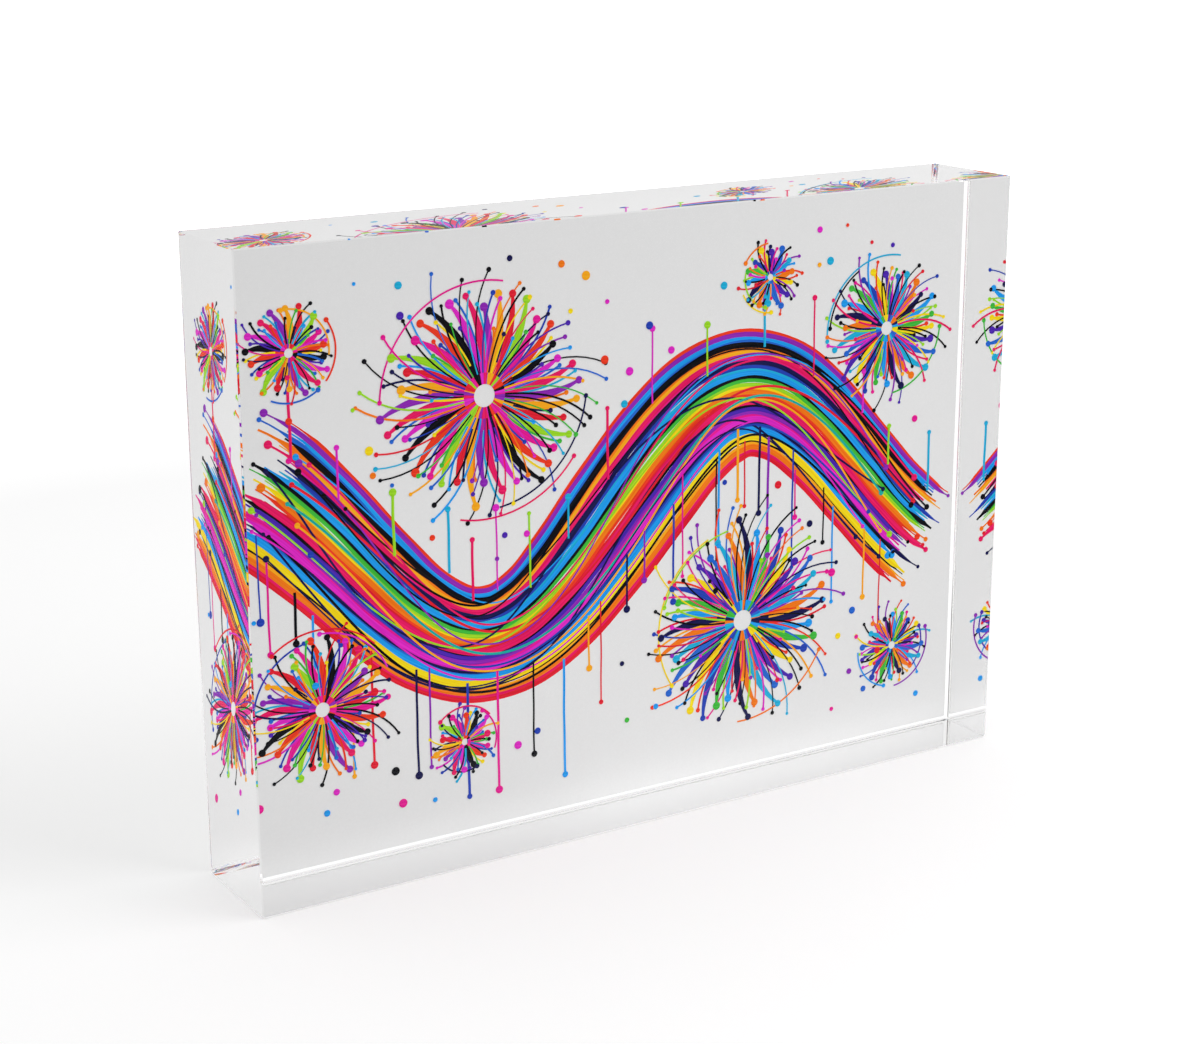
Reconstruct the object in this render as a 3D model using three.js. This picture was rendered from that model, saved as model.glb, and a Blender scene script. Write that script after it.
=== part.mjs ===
// Crystal photo block: a thick clear acrylic slab with a photo print bonded face down
// to its back, and a white backing sheet over the print.
// Millimetres, +X to the right, +Y to the back, +Z up.
// The block stands on its long edge, with the middle of its footprint at the origin.

import * as THREE from 'three';

// Driving dimensions of the acrylic slab
const BLOCK_WIDTH = 177.8;
const BLOCK_HEIGHT = 127;
const BLOCK_DEPTH = 25;

// Width of the polished chamfers, each cut at 45 degrees
const FRONT_CHAMFER = 0.3;
const BACK_CHAMFER = 0.35;
const CORNER_CHAMFER = 0.2;

// Thickness of each layer behind the slab, from the acrylic outwards
const CLEAR_ADHESIVE_THICKNESS = 0.05;
const PRINT_THICKNESS = 0.2;
const BACKING_ADHESIVE_THICKNESS = 0.05;
const BACKING_THICKNESS = 0.15;

// The layers are trimmed together, this far inside the border of the flat back face
const TRIM_MARGIN = 0.55;

// Where one layer ends and the next begins, measured back from the front face
const ADHESIVE_FRONT = BLOCK_DEPTH;
const PRINT_FRONT = ADHESIVE_FRONT + CLEAR_ADHESIVE_THICKNESS;
const BACKING_ADHESIVE_FRONT = PRINT_FRONT + PRINT_THICKNESS;
const BACKING_FRONT = BACKING_ADHESIVE_FRONT + BACKING_ADHESIVE_THICKNESS;
const OVERALL_DEPTH = BACKING_FRONT + BACKING_THICKNESS;

// An upright rectangle with cut corners, drawn in by inset on every side, at one depth.
// The eight points run anticlockwise as the front of the block is seen.
function ring(depth, inset) {
  const x = BLOCK_WIDTH / 2 - inset;
  const z = BLOCK_HEIGHT / 2 - inset;
  const cut = CORNER_CHAMFER;
  return [
    [x, depth, z - cut],
    [x - cut, depth, z],
    [cut - x, depth, z],
    [-x, depth, z - cut],
    [-x, depth, cut - z],
    [cut - x, depth, -z],
    [x - cut, depth, -z],
    [x, depth, cut - z],
  ];
}

// A closed solid through a row of rings: a wall between each two neighbours, and a flat
// fan over the first ring and the last. Rings run from front to back.
function loft(rings) {
  const sides = rings[0].length;
  const index = [];
  for (let level = 0; level + 1 < rings.length; level += 1) {
    for (let side = 0; side < sides; side += 1) {
      const a = level * sides + side;
      const b = level * sides + (side + 1) % sides;
      index.push(a, a + sides, b);
      index.push(b, a + sides, b + sides);
    }
  }
  const last = (rings.length - 1) * sides;
  for (let side = 1; side + 1 < sides; side += 1) {
    index.push(0, side, side + 1);
    index.push(last, last + side + 1, last + side);
  }
  const geometry = new THREE.BufferGeometry();
  geometry.setAttribute('position', new THREE.Float32BufferAttribute(rings.flat(2), 3));
  geometry.setIndex(index);
  geometry.computeVertexNormals();
  return geometry;
}

function slab() {
  return loft([
    ring(0, FRONT_CHAMFER),
    ring(FRONT_CHAMFER, 0),
    ring(BLOCK_DEPTH - BACK_CHAMFER, 0),
    ring(BLOCK_DEPTH, BACK_CHAMFER),
  ]);
}

// One layer of the laminate, trimmed inside the flat back face
function sheet(front, thickness) {
  const inset = BACK_CHAMFER + TRIM_MARGIN;
  return loft([ring(front, inset), ring(front + thickness, inset)]);
}

function named(name, geometry, look) {
  const mesh = new THREE.Mesh(geometry, new THREE.MeshStandardMaterial(look));
  mesh.name = name;
  return mesh;
}

const CLEAR = { transparent: true, opacity: 0.3, metalness: 0 };

const acrylicBlock = named('acrylic_block', slab(), {
  ...CLEAR,
  color: 0xeef5f7,
  roughness: 0.02,
});

const clearAdhesive = named(
  'clear_adhesive',
  sheet(ADHESIVE_FRONT, CLEAR_ADHESIVE_THICKNESS),
  { ...CLEAR, color: 0xf6f6f2, roughness: 0.1 },
);

const photoPrint = named('photo_print', sheet(PRINT_FRONT, PRINT_THICKNESS), {
  color: 0xececee,
  roughness: 0.35,
  metalness: 0,
});

const backingAdhesive = named(
  'backing_adhesive',
  sheet(BACKING_ADHESIVE_FRONT, BACKING_ADHESIVE_THICKNESS),
  { color: 0xe2dfd2, roughness: 0.5, metalness: 0 },
);

const backingSheet = named('backing_sheet', sheet(BACKING_FRONT, BACKING_THICKNESS), {
  color: 0xf2f2f0,
  roughness: 0.6,
  metalness: 0,
});

// The layers are drawn from the front face back and about the middle of the height,
// so the whole block moves to stand on the origin.
const photoBlock = new THREE.Group();
photoBlock.position.set(0, -OVERALL_DEPTH / 2, BLOCK_HEIGHT / 2);
photoBlock.add(acrylicBlock, clearAdhesive, photoPrint, backingAdhesive, backingSheet);

export default photoBlock;
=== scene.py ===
import math

import bpy
import numpy as np
from mathutils import Matrix, Vector


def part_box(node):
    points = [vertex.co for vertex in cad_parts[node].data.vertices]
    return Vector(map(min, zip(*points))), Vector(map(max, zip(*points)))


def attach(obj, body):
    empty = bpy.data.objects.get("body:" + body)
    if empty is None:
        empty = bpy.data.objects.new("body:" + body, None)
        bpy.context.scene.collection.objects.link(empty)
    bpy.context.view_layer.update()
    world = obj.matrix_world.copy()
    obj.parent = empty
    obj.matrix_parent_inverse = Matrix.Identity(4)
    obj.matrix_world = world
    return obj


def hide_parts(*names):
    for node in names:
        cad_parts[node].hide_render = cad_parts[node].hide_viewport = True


# A crystal photo block in metres: a clear acrylic slab over a printed design, on a pale floor.
# The print is bonded to the slab, so the slab, its adhesive and the ink share one clear body.

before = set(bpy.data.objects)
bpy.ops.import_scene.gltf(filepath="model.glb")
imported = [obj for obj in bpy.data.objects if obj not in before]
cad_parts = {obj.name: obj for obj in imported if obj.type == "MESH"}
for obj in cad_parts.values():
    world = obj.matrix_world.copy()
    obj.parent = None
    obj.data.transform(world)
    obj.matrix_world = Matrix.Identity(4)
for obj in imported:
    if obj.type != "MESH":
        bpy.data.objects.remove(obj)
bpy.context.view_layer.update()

MM = 0.001
SLAB_LOW, SLAB_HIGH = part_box("acrylic_block")
PRINT_LOW, PRINT_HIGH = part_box("photo_print")
BLOCK_WIDTH = SLAB_HIGH.x - SLAB_LOW.x
BLOCK_HEIGHT = SLAB_HIGH.z - SLAB_LOW.z
BLOCK_MIDDLE = SLAB_LOW.z + BLOCK_HEIGHT / 2
PAPER_FRONT = PRINT_LOW.y

# The layers behind the clear adhesive, from the front back
LAYERS = ["photo_print", "backing_adhesive", "backing_sheet"]
LAYERS_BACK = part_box("backing_sheet")[1].y

# Polished edges of the slab: 45 degree chamfers, their arrises eased by the polishing
FRONT_CHAMFER = 0.3 * MM
BACK_CHAMFER = 0.35 * MM
CORNER_CHAMFER = 0.2 * MM
ARRIS_RADIUS = 0.08 * MM
ARRIS_STEPS = 4
ACRYLIC_IOR = 1.49

# A ring of points this far inside the edges keeps the shading of the wide faces flat
FLAT_RING = 1.5 * MM

# The clear body ends just inside the paper, so no air lies between the two
BOND_DEPTH = 0.03 * MM
BOND_INSET = 0.02 * MM

# Each ink pass lies a little in front of the one before it. Real ink is thinner: the steps
# are as thick as a viewer's depth test needs to keep the passes in order.
INK_BASE = 10e-6
INK_PASS = 2.5e-6
INK_SINK = 5e-6
DOT_SIDES = 22

# How often the streaks in the ink repeat in a millimetre, along a stroke and across it, and
# how much shorter they are on a dot
STREAKS = (0.06, 2.5, 1.0)
DOT_STREAKS = (6, 1)


# Small helpers

def linear(code):
    """The linear colour of an sRGB hex code, by the sRGB curve."""
    value = np.array([int(code[i:i + 2], 16) for i in (1, 3, 5)]) / 255
    low = value / 12.92
    high = ((value + 0.055) / 1.055) ** 2.4
    return (*np.where(value <= 0.04045, low, high).tolist(), 1.0)


def add(tree, kind, sockets=None, **settings):
    """Adds a node. sockets maps an input's name or place to a value or to the output that
    feeds it; settings are the node's own properties."""
    new = tree.nodes.new("ShaderNode" + kind)
    for name, value in settings.items():
        setattr(new, name, value)
    for name, value in (sockets or {}).items():
        if isinstance(value, bpy.types.NodeSocket):
            tree.links.new(value, new.inputs[name])
        else:
            new.inputs[name].default_value = value
    return new


def new_material(name):
    """An empty material, with its node tree and its output node."""
    made = bpy.data.materials.new(name)
    made.use_nodes = True
    made.node_tree.nodes.clear()
    return made, made.node_tree, add(made.node_tree, "OutputMaterial")


# Materials

def polished_acrylic():
    """Cast PMMA, its faces as cast and its edges diamond polished: clear and neutral, with a
    gloss like glass. The outer front face is tinted darker than the rest: painted shade that
    stands in for the light that the edges of a real block collect from the whole slab. Light
    for the print passes straight through, as it spreads evenly in a real block; the camera's
    rays bend and mirror."""
    made, tree, out = new_material("polished_cast_acrylic")
    coordinates = add(tree, "TexCoord").outputs
    inner = add(tree, "NewGeometry").outputs["Backfacing"]
    outer = add(tree, "Math", {0: 1.0, 1: inner}, operation="SUBTRACT")
    facing = add(tree, "SeparateXYZ", {0: coordinates["Normal"]})
    # Painted shade: outer hits on the front face get the darker tint, all other hits stay near
    # white
    front = add(tree, "MapRange", {"Value": facing.outputs["Y"], "From Min": -0.6,
                                   "From Max": -0.9, "To Max": outer.outputs[0]})
    tone = add(tree, "Mix", {0: front.outputs[0], 6: linear("#FDFDFD"), 7: linear("#EFEFEF")},
               data_type="RGBA")
    # Faint unevenness of the polish, some 6 mm across
    polish = add(tree, "TexNoise", {"Vector": coordinates["Object"], "Scale": 1 / (6 * MM),
                                    "Detail": 3.0})
    rough = add(tree, "MapRange", {"Value": polish.outputs[0], "From Min": 0.35, "From Max": 0.75,
                                   "To Min": 0.0, "To Max": 0.012})
    clear = add(tree, "BsdfPrincipled", {
        "Base Color": tone.outputs[2], "Roughness": rough.outputs[0], "IOR": ACRYLIC_IOR,
        "Transmission Weight": 1.0})
    # The picture shows two thirds less of the room in the outer faces than bare acrylic would
    mirrored = add(tree, "MapRange", {"Value": inner, "To Min": 0.3, "To Max": 1.0})
    bent = add(tree, "BsdfRefraction", {"Color": tone.outputs[2], "IOR": ACRYLIC_IOR,
                                        "Roughness": 0.0})
    seen = add(tree, "MixShader", {0: mirrored.outputs[0], 1: bent.outputs[0],
                                   2: clear.outputs[0]})
    # A real block bends half of the light away from its shadow, but keeps the print bright
    kept = add(tree, "Mix", {0: inner, 6: linear("#CCCCCC"), 7: linear("#FAFAFA")},
               data_type="RGBA")
    through = add(tree, "BsdfTransparent", {"Color": kept.outputs[2]})
    path = add(tree, "LightPath").outputs
    passing = add(tree, "Math", {0: path["Is Shadow Ray"], 1: path["Is Diffuse Ray"]},
                  operation="MAXIMUM")
    both = add(tree, "MixShader", {0: passing.outputs[0], 1: seen.outputs[0],
                                   2: through.outputs[0]})
    tree.links.new(both.outputs[0], out.inputs["Surface"])
    return made


def photo_paper():
    """Coated photo paper, bonded face forward: an even cool white without gloss of its own,
    with the faint mottle of its coating, about 0.5 mm across."""
    made, tree, out = new_material("coated_photo_paper")
    place = add(tree, "TexCoord").outputs["Object"]
    mottle = add(tree, "TexNoise", {"Vector": place, "Scale": 1 / (0.5 * MM), "Detail": 2.0})
    tone = add(tree, "Mix", {0: mottle.outputs[0], 6: linear("#ECECEC"), 7: linear("#F2F2F2")},
               data_type="RGBA")
    paper = add(tree, "BsdfPrincipled", {"Base Color": tone.outputs[2], "Roughness": 0.9,
                                         "Specular IOR Level": 0.0})
    tree.links.new(paper.outputs[0], out.inputs["Surface"])
    return made


def pigment_ink(name, code):
    """Pigment ink soaked into the coating: colour without gloss, denser and a quarter
    brighter by turns in streaks that run with each stroke, about 0.4 mm apart."""
    made, tree, out = new_material("pigment_ink_" + name)
    along = add(tree, "UVMap", uv_map=STROKE_MAP).outputs[0]
    stretched = add(tree, "Mapping", {"Vector": along, "Scale": STREAKS})
    streak = add(tree, "TexNoise", {"Vector": stretched.outputs[0], "Scale": 1.0, "Detail": 2.0})
    dense = linear(code)
    thin = tuple(min(1.0, 1.25 * c + 0.01) for c in dense[:3]) + (1.0,)
    share = add(tree, "MapRange", {"Value": streak.outputs[0], "From Min": 0.35,
                                   "From Max": 0.65})
    tone = add(tree, "Mix", {0: share.outputs[0], 6: dense, 7: thin}, data_type="RGBA")
    ink = add(tree, "BsdfPrincipled", {"Base Color": tone.outputs[2], "Roughness": 0.9,
                                       "Specular IOR Level": 0.0})
    tree.links.new(ink.outputs[0], out.inputs["Surface"])
    return made


def adhesive_film():
    """Milky acrylic adhesive between the print and its backing, seen only as a thin edge."""
    made, tree, out = new_material("milky_adhesive_film")
    place = add(tree, "TexCoord").outputs["Object"]
    cloud = add(tree, "TexNoise", {"Vector": place, "Scale": 1 / (1.5 * MM), "Detail": 2.0})
    tone = add(tree, "Mix", {0: cloud.outputs[0], 6: linear("#E4E2DA"), 7: linear("#EEECE6")},
               data_type="RGBA")
    film = add(tree, "BsdfPrincipled", {"Base Color": tone.outputs[2], "Roughness": 0.45,
                                        "IOR": 1.47})
    tree.links.new(film.outputs[0], out.inputs["Surface"])
    return made


def white_vinyl():
    """Calendered white vinyl with a fine matt grain, about 0.35 mm across, which softens its
    highlight; the tone drifts a little over some centimetres."""
    made, tree, out = new_material("matt_white_vinyl")
    place = add(tree, "TexCoord").outputs["Object"]
    grain = add(tree, "TexNoise", {"Vector": place, "Scale": 1 / (0.35 * MM), "Detail": 2.0})
    drift = add(tree, "TexNoise", {"Vector": place, "Scale": 1 / (30 * MM), "Detail": 1.0})
    tone = add(tree, "Mix", {0: drift.outputs[0], 6: linear("#E9E9E7"), 7: linear("#EFEFED")},
               data_type="RGBA")
    rough = add(tree, "MapRange", {"Value": grain.outputs[0], "From Min": 0.3, "From Max": 0.7,
                                   "To Min": 0.5, "To Max": 0.64})
    bump = add(tree, "Bump", {"Height": grain.outputs[0], "Strength": 0.35,
                              "Distance": 0.03 * MM})
    vinyl = add(tree, "BsdfPrincipled", {"Base Color": tone.outputs[2], "IOR": 1.53,
                                         "Roughness": rough.outputs[0],
                                         "Normal": bump.outputs[0]})
    tree.links.new(vinyl.outputs[0], out.inputs["Surface"])
    return made


# Meshes

def eased(corners, radius, steps):
    """Rounds the corners of a closed outline. Each corner becomes a quadratic curve whose
    control point is the corner itself, between two points set back along its two sides by
    the tangent length of a fillet. corners is (count, 2); the result is (count * steps, 2)."""
    before = np.roll(corners, 1, 0) - corners
    after = np.roll(corners, -1, 0) - corners
    before /= np.linalg.norm(before, axis=1)[:, None]
    after /= np.linalg.norm(after, axis=1)[:, None]
    half_turn = (math.pi - np.arccos(np.sum(before * after, 1))) / 2
    back = radius * np.tan(half_turn)[:, None]
    start, end = (corners + before * back)[:, None], (corners + after * back)[:, None]
    s = np.linspace(0, 1, steps)[None, :, None]
    curve = (1 - s) ** 2 * start + 2 * s * (1 - s) * corners[:, None] + s**2 * end
    return curve.reshape(-1, 2)


def loft(rings):
    """The closed surface through a stack of rings, given as (levels, sides, 3): quads between
    neighbouring rings, and one flat face over each end. Its faces turn outward if the rings
    run anticlockwise as seen from before the first one. Returns points and faces."""
    levels, sides = rings.shape[:2]
    index = np.arange(levels * sides).reshape(levels, sides)
    here, following = index[:-1], index[1:]
    walls = np.stack([here, following, np.roll(following, -1, 1), np.roll(here, -1, 1)], -1)
    faces = walls.reshape(-1, 4).tolist() + [index[0].tolist(), index[-1, ::-1].tolist()]
    return rings.reshape(-1, 3), faces


def new_piece(name, points, faces, material):
    """A mesh object at the origin, with its material and the slot of its finish."""
    mesh = bpy.data.meshes.new(name)
    mesh.from_pydata(points.tolist(), [], faces)
    mesh.materials.append(material)
    made = bpy.data.objects.new(name, mesh)
    bpy.context.scene.collection.objects.link(made)
    return made


def clear_block():
    """The slab and its clear adhesive as one body of eight-cornered rings. The profile gives
    each ring's depth and how far it is drawn in: the front face, the front chamfer, the
    sides, the back chamfer, the back face and the step out to the adhesive. Corners of the
    profile and of every ring are eased."""
    depth = SLAB_HIGH.y - SLAB_LOW.y
    bond = PRINT_LOW.x - SLAB_LOW.x + BOND_INSET
    reach = PAPER_FRONT + BOND_DEPTH - SLAB_LOW.y
    profile = np.array([
        (0, FLAT_RING), (0, FRONT_CHAMFER), (FRONT_CHAMFER, 0), (depth - BACK_CHAMFER, 0),
        (depth, BACK_CHAMFER), (depth, FLAT_RING)])
    bends = eased(profile, ARRIS_RADIUS, ARRIS_STEPS)[ARRIS_STEPS:-ARRIS_STEPS]
    steps = np.vstack([profile[:1], bends, [(depth, bond), (reach, bond)]])
    rings = np.array([block_ring(SLAB_LOW.y + y, inset) for y, inset in steps])
    points, faces = loft(rings)
    made = new_piece("clear_block", points, faces, polished_acrylic())
    made.data.polygons.foreach_set("use_smooth", np.ones(len(faces), bool))
    made.data.normals_split_custom_set_from_vertices(area_normals(made.data).tolist())
    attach(made, "root")
    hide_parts("acrylic_block", "clear_adhesive")


def block_ring(y, inset):
    """An upright rectangle with cut and eased corners at depth y, drawn in on every side."""
    x, z, cut = BLOCK_WIDTH / 2 - inset, BLOCK_HEIGHT / 2 - inset, CORNER_CHAMFER
    corners = np.array([(x, cut - z), (x, z - cut), (x - cut, z), (cut - x, z), (-x, z - cut),
                        (-x, cut - z), (cut - x, -z), (x - cut, -z)])
    outline = eased(corners, ARRIS_RADIUS, ARRIS_STEPS)
    return np.column_stack([outline[:, 0], np.full(len(outline), y), outline[:, 1] + BLOCK_MIDDLE])


def area_normals(mesh):
    """Each point's normal as the sum of its faces' normals times their areas, so the wide
    flat faces stay flat and only the narrow eased edges turn."""
    total = np.zeros((len(mesh.vertices), 3))
    for face in mesh.polygons:
        total[list(face.vertices)] += np.array(face.normal) * face.area
    return total / np.linalg.norm(total, axis=1)[:, None]


def ink_front(level):
    """The depth of the front of one ink pass."""
    return PAPER_FRONT - INK_BASE - level * INK_PASS


def stroke_rings(points, half_widths, level):
    """A pen stroke as a four-sided tube: at each point of its path, left and right of it at
    the ink's front, and the same two just inside the paper. points are (count, 2) in x, z."""
    tangent = np.gradient(points, axis=0)
    tangent /= np.linalg.norm(tangent, axis=1)[:, None]
    side = np.column_stack([-tangent[:, 1], tangent[:, 0]]) * half_widths[:, None]
    front, back = ink_front(level), PAPER_FRONT + INK_SINK
    corners = [(points + side, front), (points + side, back),
               (points - side, back), (points - side, front)]
    return np.stack([np.insert(flat, 1, y, axis=1) for flat, y in corners], 1)


def dot_rings(centre, radius, level):
    """A round dot as a short drum: the same circle at the front and just inside the paper."""
    turn = np.linspace(0, 2 * math.pi, DOT_SIDES, endpoint=False)
    circle = np.array(centre) + radius * np.column_stack([np.cos(turn), np.sin(turn)])
    return np.stack([np.insert(circle, 1, y, axis=1)
                     for y in (ink_front(level), PAPER_FRONT + INK_SINK)])


# The printed design: a wave of marker strokes between bursts, with drips, loose arcs and
# confetti. Everything is drawn in millimetres, x from the print's middle and z from the base.

STROKE_MAP = "along_stroke"
INKS = {
    "red": "#DC2032", "scarlet": "#E63A20", "orange": "#F47618", "amber": "#FFA51E",
    "yellow": "#F8D21A", "lime": "#96D228", "green": "#3EB43C", "teal": "#1FA69C",
    "cyan": "#1FA8D2", "azure": "#1F96E6", "blue": "#2564C8", "royal": "#2440AC",
    "indigo": "#4A26A8", "purple": "#8A28AE", "magenta": "#D828BE", "pink": "#E01A90",
    "crimson": "#E21A60", "navy": "#16164A", "black": "#0B0B12",
}
STRAND_INKS = [
    "red", "crimson", "orange", "amber", "black", "yellow", "azure", "azure", "blue", "navy",
    "magenta", "pink", "purple", "indigo", "black", "crimson", "red", "scarlet", "orange",
    "yellow", "lime", "green", "black", "azure", "cyan", "royal", "navy", "pink", "crimson",
    "amber", "orange", "black", "blue", "azure", "purple", "scarlet"]
HAIRLINE_INKS = ["black", "navy", "red", "black", "azure", "magenta", "navy", "lime", "black",
                 "royal", "crimson", "teal", "black", "amber", "purple", "navy"]
DRIP_INKS = ["crimson", "azure", "navy", "magenta", "red", "royal", "lime", "purple", "black",
             "cyan", "pink", "amber"]
BURST_INKS = ["crimson", "azure", "black", "orange", "pink", "blue", "red", "yellow", "purple",
              "green", "magenta", "navy", "scarlet", "cyan", "lime", "indigo", "amber", "royal"]

# Passes of ink from back to front, spread so that no two inks that cross share one
STRAND_PASSES = 8
HAIRLINE_PASS = 8
DRIP_PASS = 24
PETAL_PASS = 26
FILAMENT_PASS = 32
DOT_PASS = 35
CONFETTI_PASS = 39

# The wave's middle height, rise, length and half of its breadth, where its strands begin and
# end, how far apart they run, and the points along each of its strokes
WAVE_MIDDLE = 62.0
WAVE_RISE = 22.0
WAVE_LENGTH = 124.0
WAVE_HALF = 13
WAVE_LEFT = -77
WAVE_RIGHT = 75
STRAND_PITCH = 0.74
STROKE_POINTS = 110

# How far out the drips go, how far apart they are, and the lowest and highest of their ends
DRIP_LIMIT = 78
DRIP_PITCH = 3.4
DRIP_LOWEST = 8
DRIP_HIGHEST = 118

# The confetti's grid, and the room that it leaves round the wave and the bursts
CONFETTI_CELL = 7.5
CONFETTI_TO_WAVE = 15
CONFETTI_TO_BURST = 1.5

# Centre x and z, radius, and number of petals
BURSTS = [
    ((-31, 91), 23, 72), ((31, 34), 23, 72), ((-68, 33), 15, 52), ((68, 94), 15, 52),
    ((-72, 104), 9, 36), ((72, 21), 9, 36), ((-37, 20), 7, 28), ((37, 108), 7, 28),
]


def wobble(rng, along, size):
    """A hand's unsteadiness: two sines of random phase along the stroke."""
    first, second = rng.uniform(0, 2 * math.pi, 2)
    return size * (np.sin(along / 4.1 + first) + 0.6 * np.sin(along / 1.7 + second))


def beside_wave(x, offset):
    """A line that runs beside the sine wave, at a distance given along the wave's normal."""
    turn = 2 * math.pi / WAVE_LENGTH
    z = WAVE_MIDDLE + WAVE_RISE * np.sin(turn * x)
    slope = WAVE_RISE * turn * np.cos(turn * x)
    length = np.sqrt(1 + slope**2)
    return np.column_stack([x - offset * slope / length, z + offset / length])


def draw_wave(rng, strokes, dots):
    """Overlapping strands side by side along the wave, which swells and narrows a little,
    thinning at their ends, and hairlines that drift across them."""
    count = len(STRAND_INKS)
    for k, ink in enumerate(STRAND_INKS):
        start, end = WAVE_LEFT - rng.uniform(0, 7), WAVE_RIGHT + rng.uniform(0, 7)
        x = np.linspace(start, end, STROKE_POINTS)
        swell = 1 + 0.12 * np.sin(x / 17 + 1)
        offset = (k - (count - 1) / 2) * STRAND_PITCH * swell + wobble(rng, x, 0.1)
        points = beside_wave(x, offset)
        tail = np.minimum(x - start, end - x) / rng.uniform(3, 9)
        width = rng.uniform(0.7, 1.5) * (0.3 + 0.7 * np.clip(3 * tail - 1, 0, 1))
        strokes.append((ink, 3 * k % STRAND_PASSES, points, width / 2))
        for tip in (points[0], points[-1]):
            if rng.uniform() < 0.4:
                dots.append((ink, DOT_PASS, tip, rng.uniform(0.4, 0.9)))
    for k, ink in enumerate(HAIRLINE_INKS):
        x = np.linspace(-80 + rng.uniform(0, 15), 79 - rng.uniform(0, 15), STROKE_POINTS)
        middle = (-1) ** k * rng.uniform(1, WAVE_HALF)
        drift = rng.uniform(2, 6) * np.sin(x / rng.uniform(13, 24) + rng.uniform(0, 6))
        points = beside_wave(x, WAVE_HALF * np.tanh((middle + drift) / WAVE_HALF))
        width = np.full(len(x), rng.uniform(0.3, 0.55))
        strokes.append((ink, HAIRLINE_PASS + k, points, width / 2))
        for tip in (points[0], points[-1]):
            dots.append((ink, DOT_PASS + 1, tip, rng.uniform(0.4, 0.8)))


def draw_drips(rng, strokes, dots):
    """Thin upright lines that run down out of the wave, and shorter ones up, each with a
    blob at its end."""
    for k, x in enumerate(np.arange(-DRIP_LIMIT, DRIP_LIMIT, DRIP_PITCH)):
        ink = DRIP_INKS[5 * k % len(DRIP_INKS)]
        way = 1 if k % 3 == 0 else -1
        start = beside_wave(np.array([x + rng.uniform(-1, 1)]), way * rng.uniform(6, 12))[0]
        reach = rng.uniform(8, 18) if way > 0 else rng.uniform(10, 30)
        end = np.clip(start[1] + way * reach, DRIP_LOWEST, DRIP_HIGHEST)
        z = np.linspace(start[1], end, 12)
        path = np.column_stack([start[0] + wobble(rng, z, 0.05), z])
        width = np.full(len(z), rng.uniform(0.3, 0.6))
        strokes.append((ink, DRIP_PASS + k % 2, path, width / 2))
        dots.append((ink, DOT_PASS + 2, path[-1], rng.uniform(0.45, 0.85)))


def spoke(centre, angle, root, reach, swirl, radius):
    """A line from root to reach out from the centre that turns with the square of its
    distance."""
    r = np.linspace(root, reach, 12)
    turned = angle + swirl * (r / radius) ** 2
    return np.array(centre) + r[:, None] * np.column_stack([np.cos(turned), np.sin(turned)])


def draw_burst(rng, centre, radius, petals, first, strokes, dots):
    """Broad petals with finer ones between them, hairlines that swirl the other way, a dot on
    every tip, and loose arcs round the burst."""
    grow = np.linspace(0, 1, 12)
    room = 2 * math.pi * radius / petals
    for k in range(petals):
        fine = k % 2
        ink = BURST_INKS[(first + k * 5) % len(BURST_INKS)]
        angle = 2 * math.pi * (k + rng.uniform(-0.2, 0.2)) / petals
        reach = radius * (rng.uniform(0.5, 0.98) if fine else rng.uniform(0.74, 1.0))
        path = spoke(centre, angle, radius * (0.3 if fine else 0.1), reach, 0.25, radius)
        belly = 0.3 + 0.7 * np.sin(math.pi * grow**0.7)
        width = np.maximum(room * (0.2 * grow**0 if fine else 0.95 * belly), 0.24)
        level = PETAL_PASS + (4 + k // 2 % 2 if fine else k // 2 % 4)
        strokes.append((ink, level, path, width / 2))
        tip = room * (0.24 if fine else 0.42) * rng.uniform(0.8, 1.15)
        dots.append((ink, DOT_PASS + fine, path[-1], min(tip, 1.0)))
    hairs = int(petals * 0.8)
    for k in range(hairs):
        ink = "black" if k % 4 == 0 else BURST_INKS[(first + 2 + k * 7) % len(BURST_INKS)]
        angle = 2 * math.pi * (k + rng.uniform(-0.3, 0.3)) / hairs
        path = spoke(centre, angle, radius * 0.2, radius * rng.uniform(0.7, 1.22), -0.22, radius)
        width = np.full(len(path), rng.uniform(0.24, 0.42))
        strokes.append((ink, FILAMENT_PASS + k % 2, path, width / 2))
        dots.append((ink, DOT_PASS + 2, path[-1], min(0.25 * room, 0.6) * rng.uniform(0.7, 1.1)))
    for k in range(3):
        turned = rng.uniform(0, 2 * math.pi) + np.linspace(0, rng.uniform(0.8, 1.9), 30)
        circle = np.column_stack([np.cos(turned), np.sin(turned)])
        path = np.array(centre) + radius * rng.uniform(0.9, 1.15) * circle
        ink = BURST_INKS[(first + 4 + 7 * k) % len(BURST_INKS)]
        strokes.append((ink, FILAMENT_PASS + 2, path, np.full(len(path), 0.17)))
        dots.append((ink, DOT_PASS + 3, path[-1], 0.5))


def draw_confetti(rng, dots):
    """Dots on a jittered grid, kept off the bursts and the wave, but near one of them."""
    across = np.arange(-80, 81, CONFETTI_CELL)
    up = np.arange(10, 119, CONFETTI_CELL)
    grid = np.stack(np.meshgrid(across, up), -1)
    places = grid.reshape(-1, 2) + rng.uniform(-3, 3, (grid.size // 2, 2))
    wave = beside_wave(np.linspace(-80, 80, 80), 0.0)
    to_wave = np.linalg.norm(places[:, None] - wave[None], axis=2).min(1)
    hearts = np.array([centre for centre, radius, petals in BURSTS])
    radii = np.array([radius for centre, radius, petals in BURSTS])
    to_burst = (np.linalg.norm(places[:, None] - hearts[None], axis=2) - radii).min(1)
    keep = (to_wave > CONFETTI_TO_WAVE) & (to_burst > CONFETTI_TO_BURST)
    keep &= (to_burst < 13) | (to_wave < 24)
    keep &= rng.uniform(size=len(places)) < 0.6
    for place in places[keep]:
        ink = BURST_INKS[rng.integers(len(BURST_INKS))]
        dots.append((ink, CONFETTI_PASS, place, rng.uniform(0.35, 0.95)))


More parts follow.
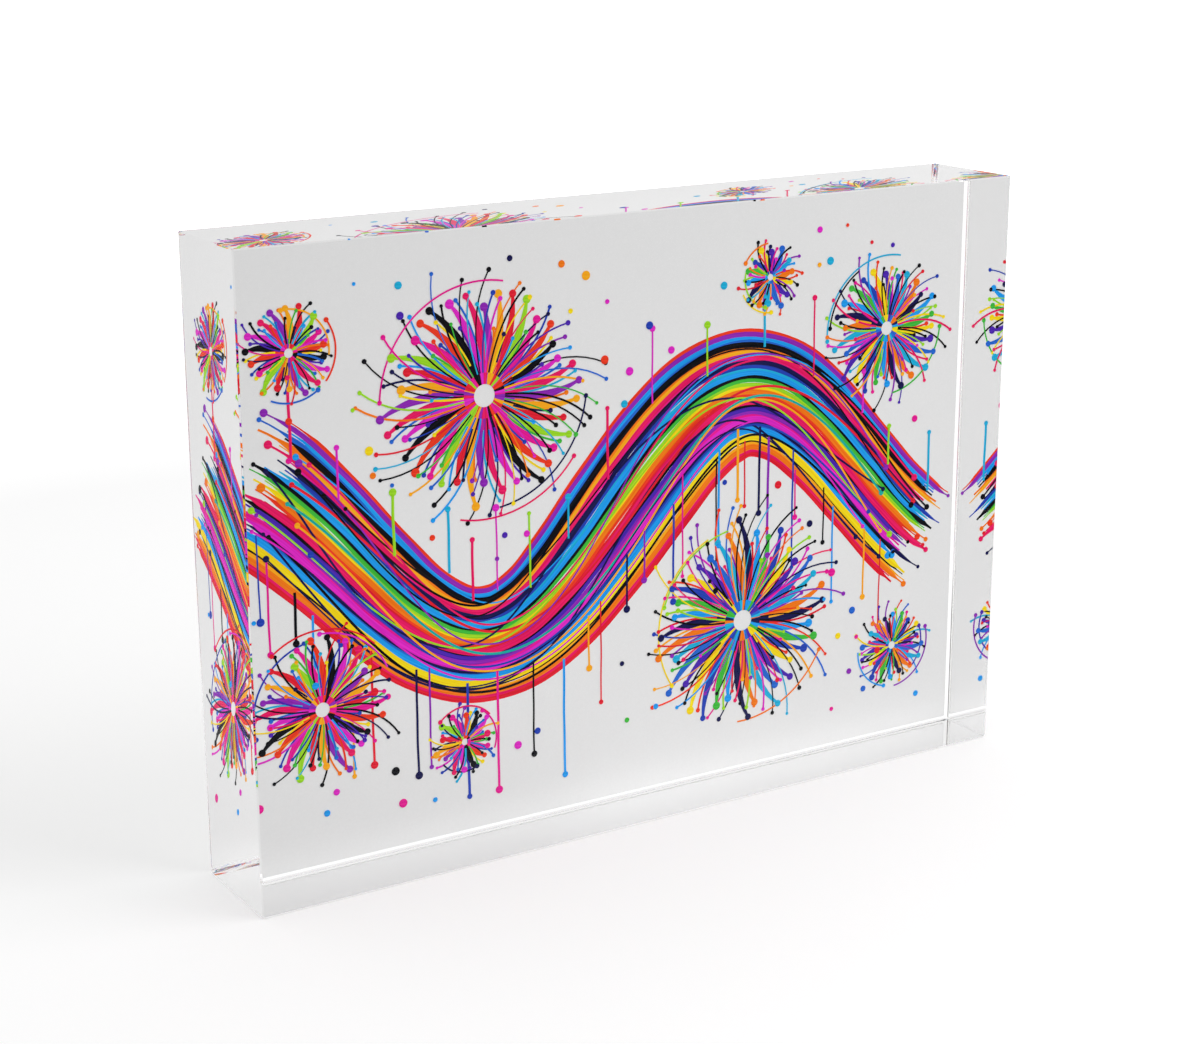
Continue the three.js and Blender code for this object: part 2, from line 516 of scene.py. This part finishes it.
def print_design():
    """One piece for each ink, with every stroke and dot of that ink in it. Returns them."""
    rng = np.random.default_rng(11)
    strokes, dots = [], []
    draw_wave(rng, strokes, dots)
    draw_drips(rng, strokes, dots)
    for place, (centre, radius, petals) in enumerate(BURSTS):
        draw_burst(rng, centre, radius, petals, place * 3, strokes, dots)
    draw_confetti(rng, dots)
    made = []
    for name, code in INKS.items():
        parts = []
        for ink, level, path, half in strokes:
            if ink == name:
                length = np.cumsum(np.linalg.norm(np.gradient(path, axis=0), axis=1))
                across = np.stack([half, half, -half, -half], 1)
                along = np.stack([np.repeat(length[:, None], 4, 1), across], -1)
                parts.append((stroke_rings(path * MM, half * MM, level), along))
        for ink, level, centre, radius in dots:
            if ink == name:
                rings = dot_rings(np.array(centre) * MM, radius * MM, level)
                along = (rings[..., (0, 2)] / MM - np.array(centre)) * DOT_STREAKS
                parts.append((rings, along))
        made.append(join_ink(name, code, parts))
    return made


def join_ink(name, code, parts):
    """Joins the tubes and drums of one ink into a mesh, with the map of where each point
    lies along and across its stroke, in millimetres. Returns its object."""
    points, faces, along, first = [], [], [], 0
    for rings, place in parts:
        part_points, part_faces = loft(rings)
        points.append(part_points)
        along.append(place.reshape(-1, 2))
        faces += [[first + corner for corner in face] for face in part_faces]
        first += len(part_points)
    made = new_piece("ink_" + name, np.concatenate(points), faces, pigment_ink(name, code))
    corners = np.zeros(len(made.data.loops), int)
    made.data.loops.foreach_get("vertex_index", corners)
    layer = made.data.uv_layers.new(name=STROKE_MAP)
    layer.data.foreach_set("uv", np.concatenate(along)[corners].ravel())
    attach(made, "root")
    return made


def dress_frame():
    """Gives the CAD nodes that stay their finishes."""
    for name, finish in zip(LAYERS, (photo_paper(), adhesive_film(), white_vinyl())):
        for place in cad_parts[name].material_slots:
            place.material = finish


# The studio

# Half the floor's width, the air that a real floor leaves under the block, the share of plain
# white that is added to what the camera sees of the floor beside it, and the distances from
# the block between which that share grows to the whole
FLOOR_HALF = 3.0
FLOOR_GAP = 0.1 * MM
FLOOR_LIFT = 0.255
FADE_START = 0.3
FADE_END = 0.8

# Where the mirrored floor turns from dark to white: the depths at which that begins and ends
DARK_TO = -120 * MM
WHITE_FROM = -40 * MM

# How strongly the dome lights, how bright the unlit half of the room is in reflections, and
# how bright the floor is through the acrylic, which takes a fifth of it away again
DOME_STRENGTH = 0.66
DARK_HALF = 0.05
SEEN_THROUGH = 1.2

# Each lamp has its name, place, the point that it faces, its width and height, and its power in
# watts. The key lights everything, and the fill lights the back sheet alone.
KEY = ("key", (0.6, -0.45, 0.6), (0, 0, 0.06), 0.6, 0.6, 3.65)
BACK_FILL = ("back_fill", (0.3, 0.9, 0.5), (0, 0, 0.06), 0.8, 0.8, 3.2)

# Lamps for the light that a real block gathers from the floor and sends to the lower part of
# its print: a little over all of it, more along its foot, and more at the right
PAPER_GLOWS = [
    ("low_glow", (-10 * MM, -100 * MM, 8 * MM), (0, PAPER_FRONT, 0), 200 * MM, 30 * MM, 0.0445),
    ("foot_glow", (0, 7.1 * MM, 1.2 * MM), (0, PAPER_FRONT, 1.2 * MM), 178 * MM, 2 * MM, 0.00083),
    ("right_glow", (40 * MM, -4.1 * MM, 2 * MM), (40 * MM, PAPER_FRONT, 0), 100 * MM, 6 * MM,
     0.0014),
]

# Thin lamps beside the trimmed edges of the layers: their distance, thickness and powers
EDGE_GLOW_GAP = 0.6 * MM
EDGE_GLOW_THICKNESS = 0.4 * MM
FOOT_EDGE_GLOW = 0.00033
RIGHT_EDGE_GLOW = 0.00014


def softbox(name, place, target, width, height, power):
    """A lamp at place that faces target. It lights but isn't seen itself: the room shows as
    plain white instead. Returns its object."""
    lamp = bpy.data.lights.new(name, "AREA")
    lamp.shape = "RECTANGLE"
    lamp.size = width
    lamp.size_y = height
    lamp.energy = power
    made = bpy.data.objects.new(name, lamp)
    made.visible_camera = made.visible_glossy = made.visible_transmission = False
    made.location = place
    made.rotation_euler = (Vector(target) - Vector(place)).to_track_quat("-Z", "Y").to_euler()
    bpy.context.scene.collection.objects.link(made)
    return made


def light_only(lamp, pieces):
    """Keeps a lamp's light to some of the pieces."""
    lit = bpy.data.collections.new("lit_by_" + lamp.name)
    for piece in pieces:
        lit.objects.link(piece)
    lamp.light_linking.receiver_collection = lit


def edge_glows():
    """Light that leaves a real block past the border of its print and falls on the trimmed
    edges of the layers, at the foot and at the right."""
    middle = (PAPER_FRONT + LAYERS_BACK) / 2
    layers = [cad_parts[name] for name in LAYERS]
    place = Vector((0, middle, PRINT_LOW.z - EDGE_GLOW_GAP))
    # A hair off upright, so that the lamp's width runs along the edge
    target = place + Vector((0, 0.001 * MM, MM))
    foot = softbox("foot_edge_glow", place, target, PRINT_HIGH.x - PRINT_LOW.x,
                   EDGE_GLOW_THICKNESS, FOOT_EDGE_GLOW)
    light_only(foot, layers)
    place = Vector((PRINT_HIGH.x + EDGE_GLOW_GAP, middle, BLOCK_MIDDLE))
    target = Vector((PRINT_HIGH.x, middle, BLOCK_MIDDLE))
    right = softbox("right_edge_glow", place, target, EDGE_GLOW_THICKNESS,
                    PRINT_HIGH.z - PRINT_LOW.z, RIGHT_EDGE_GLOW)
    light_only(right, layers)


def pale_floor():
    """A matt white floor. Near the block it keeps the block's soft shadow; what the camera
    sees of it is lifted, and turns to plain white with distance. Mirrored in the block it is
    plain: white behind the block and dark in front, where the unlit half of the room is.
    Seen through the block, all of it is plain white."""
    mesh = bpy.data.meshes.new("floor")
    corners = [(-1, -1), (1, -1), (1, 1), (-1, 1)]
    mesh.from_pydata([(x * FLOOR_HALF, y * FLOOR_HALF, -FLOOR_GAP) for x, y in corners], [],
                     [(0, 1, 2, 3)])
    made, tree, out = new_material("matt_white_floor")
    place = add(tree, "TexCoord").outputs["Object"]
    span = add(tree, "VectorMath", {0: place}, operation="LENGTH")
    far = add(tree, "MapRange", {"Value": span.outputs["Value"], "From Min": FADE_START,
                                 "From Max": FADE_END, "To Min": FLOOR_LIFT, "To Max": 1.0})
    path = add(tree, "LightPath").outputs
    lift = add(tree, "Math", {0: far.outputs[0], 1: path["Is Camera Ray"]},
               operation="MULTIPLY")
    matt = add(tree, "BsdfDiffuse", {"Color": linear("#F2F2F2")})
    white = add(tree, "Emission", {"Color": (1, 1, 1, 1), "Strength": lift.outputs[0]})
    lit = add(tree, "AddShader", {0: matt.outputs[0], 1: white.outputs[0]})
    depth = add(tree, "SeparateXYZ", {0: place}).outputs["Y"]
    behind = add(tree, "MapRange", {"Value": depth, "From Min": DARK_TO,
                                    "From Max": WHITE_FROM, "To Min": DARK_HALF, "To Max": 1.0})
    # A ray that the acrylic has bent counts as a glossy ray too, and as a transmitted one
    bright = add(tree, "MapRange", {"Value": path["Is Transmission Ray"],
                                    "To Min": behind.outputs[0], "To Max": SEEN_THROUGH})
    plain = add(tree, "Emission", {"Color": (1, 1, 1, 1), "Strength": bright.outputs[0]})
    both = add(tree, "MixShader", {0: path["Is Glossy Ray"], 1: lit.outputs[0],
                                   2: plain.outputs[0]})
    tree.links.new(both.outputs[0], out.inputs["Surface"])
    mesh.materials.append(made)
    floor = bpy.data.objects.new("floor", mesh)
    bpy.context.scene.collection.objects.link(floor)


def white_room():
    """An even dome that lights softly. Where it is seen it is plain white, but its front
    half is dark in reflections, like the unlit half of a studio behind the camera."""
    world = bpy.data.worlds.new("white_room")
    world.use_nodes = True
    tree = world.node_tree
    tree.nodes.clear()
    direction = add(tree, "SeparateXYZ", {0: add(tree, "TexCoord").outputs["Generated"]})
    behind = add(tree, "MapRange", {"Value": direction.outputs["Y"], "From Min": -0.25,
                                    "From Max": 0.0, "To Min": DARK_HALF, "To Max": 1.0})
    path = add(tree, "LightPath").outputs
    dome = add(tree, "Background", {"Color": (1, 1, 1, 1), "Strength": DOME_STRENGTH})
    seen = add(tree, "Background", {"Color": (1, 1, 1, 1), "Strength": 1.0})
    mirrored = add(tree, "Background", {"Color": (1, 1, 1, 1), "Strength": behind.outputs[0]})
    direct = add(tree, "Math", {0: path["Is Camera Ray"], 1: path["Is Transmission Ray"]},
                 operation="MAXIMUM")
    bounced = add(tree, "MixShader", {0: path["Is Glossy Ray"], 1: dome.outputs[0],
                                      2: mirrored.outputs[0]})
    both = add(tree, "MixShader", {0: direct.outputs[0], 1: bounced.outputs[0],
                                   2: seen.outputs[0]})
    add(tree, "OutputWorld", {"Surface": both.outputs[0]}).is_active_output = True
    bpy.context.scene.world = world


# The camera of the photograph, fitted to the block's corners in its 1200 x 1044 frame
CAMERA_AZIMUTH = math.radians(-31.838)
CAMERA_ELEVATION = math.radians(16.009)
CAMERA_ROLL = math.radians(-0.130)
CAMERA_PLACE = (-246.33 * MM, -386.94 * MM, 192.78 * MM)
CAMERA_LENS = 69.877
CAMERA_SENSOR = 36
CAMERA_NEAREST = 10 * MM


def camera():
    """Looks back along the direction given by azimuth and elevation, rolled a little."""
    azimuth, elevation = CAMERA_AZIMUTH, CAMERA_ELEVATION
    back = Vector((math.sin(azimuth) * math.cos(elevation),
                   -math.cos(azimuth) * math.cos(elevation), math.sin(elevation)))
    right = (-back).cross(Vector((0, 0, 1))).normalized()
    up = right.cross(-back)
    cosine, sine = math.cos(CAMERA_ROLL), math.sin(CAMERA_ROLL)
    data = bpy.data.cameras.new("camera")
    data.lens = CAMERA_LENS
    data.sensor_width = CAMERA_SENSOR
    data.clip_start = CAMERA_NEAREST
    made = bpy.data.objects.new("camera", data)
    bpy.context.scene.collection.objects.link(made)
    turned = Matrix((cosine * right + sine * up, cosine * up - sine * right, back)).transposed()
    made.matrix_world = Matrix.Translation(CAMERA_PLACE) @ turned.to_4x4()
    bpy.context.scene.camera = made


bpy.context.scene.view_settings.view_transform = "Standard"
camera()
white_room()
pale_floor()
clear_block()
inks = print_design()
dress_frame()
softbox(*KEY)
light_only(softbox(*BACK_FILL), [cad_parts["backing_sheet"]])
for glow in PAPER_GLOWS:
    light_only(softbox(*glow), inks + [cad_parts["photo_print"]])
edge_glows()
